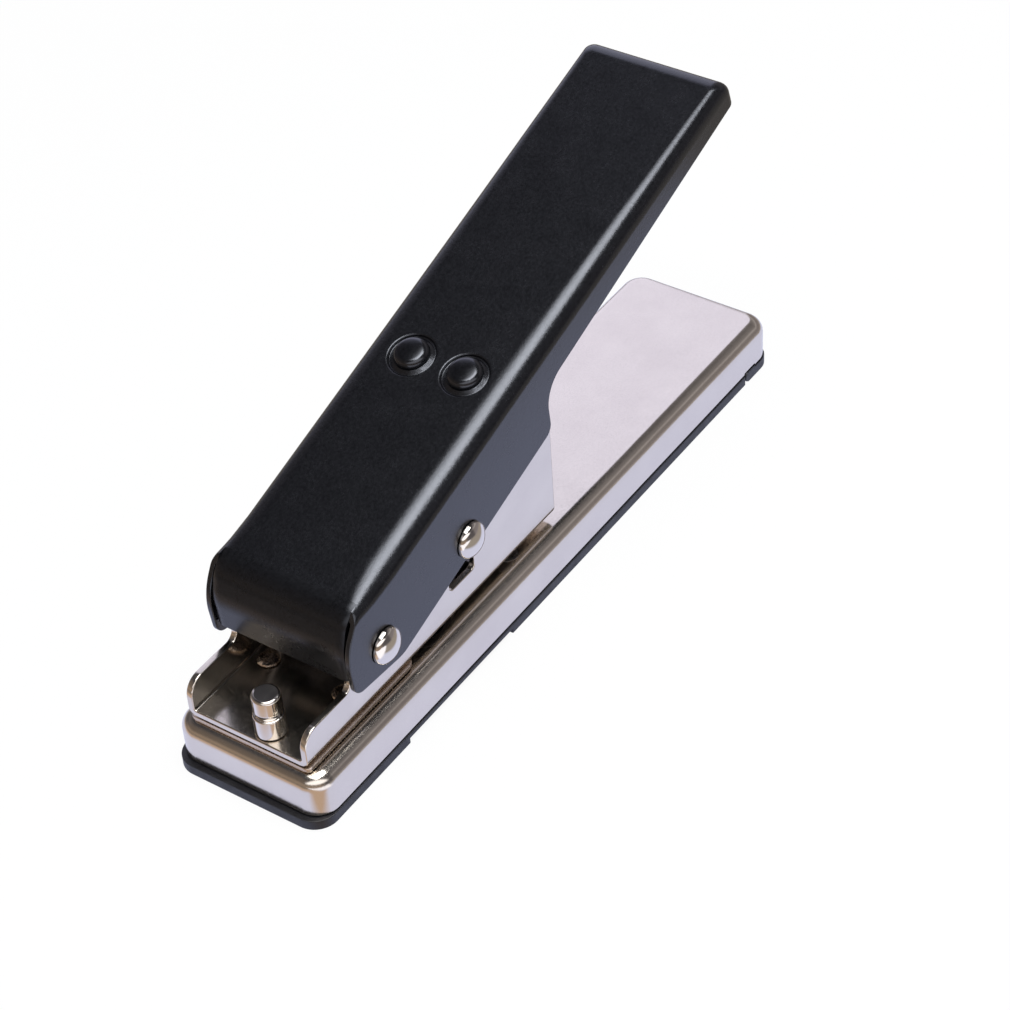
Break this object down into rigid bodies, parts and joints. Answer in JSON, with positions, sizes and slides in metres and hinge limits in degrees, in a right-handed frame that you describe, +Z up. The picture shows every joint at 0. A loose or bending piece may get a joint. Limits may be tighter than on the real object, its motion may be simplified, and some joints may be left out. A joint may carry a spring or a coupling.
{
  "type": "guitar pick punch",
  "caption": "Hand-lever punch that cuts guitar picks out of plastic cards; a tray under the base catches the picks.",
  "frame": {"origin": "plan centre of the base housing, on the surface it stands on", "axes": "+X along the base, from the pivot end to the free end of the handle; +Z up; the handle is sprung open"},
  "size_m": [0.1735, 0.0402, 0.0835],
  "materials": {
    "nickel_plate": "bright nickel plate",
    "steel": "ground steel",
    "spring_steel": "drawn spring wire",
    "black_paint": "satin black powder coat",
    "black_plastic": "moulded black plastic"
  },
  "bodies": {
    "base": {"base_housing": "nickel_plate", "die_plate": "steel", "die_rivet_1": "steel", "die_rivet_2": "steel", "die_rivet_3": "steel", "die_rivet_4": "steel", "spacer_plate": "steel", "punch_bracket": "nickel_plate", "anchor_post": "nickel_plate", "bracket_rivet_1": "nickel_plate", "bracket_rivet_2": "nickel_plate", "rear_guide_block": "steel", "front_guide_block": "steel", "guide_rivet_1": "steel", "guide_rivet_2": "steel", "guide_rivet_3": "steel", "guide_rivet_4": "steel", "rear_foot": "black_plastic", "tray_hinge_pin": "steel", "pivot_pin": "nickel_plate", "pivot_sleeve": "steel", "return_spring": "spring_steel"},
    "handle": {"handle_shell": "black_paint", "lever_channel": "steel", "handle_rivet_1": "black_paint", "handle_rivet_2": "black_paint", "drive_pin": "nickel_plate"},
    "punch": {"punch_block": "steel"},
    "tray": {"bottom_tray": "black_plastic"}
  },
  "joints": [
    {"name": "handle_pivot", "type": "hinge", "parent": "base", "child": "handle", "pos_m": [-0.0606, 0, 0.02895], "axis": [0, 1, 0], "range_deg": [0, 16], "stiffness_Nm_per_rad": 0.6, "springref_deg": -28.65, "deforming": ["return_spring"]},
    {"name": "punch_slide", "type": "slide", "parent": "base", "child": "punch", "axis": [0, 0, -1], "range_m": [0, 0.0083]},
    {"name": "tray_hinge", "type": "hinge", "parent": "base", "child": "tray", "pos_m": [0.0761, 0, 0.0016], "axis": [0, -1, 0], "range_deg": [0, 60]}
  ],
  "couplings": [
    {"joint": "punch_slide", "follows": "handle_pivot", "m_per_rad": 0.029396}
  ]
}
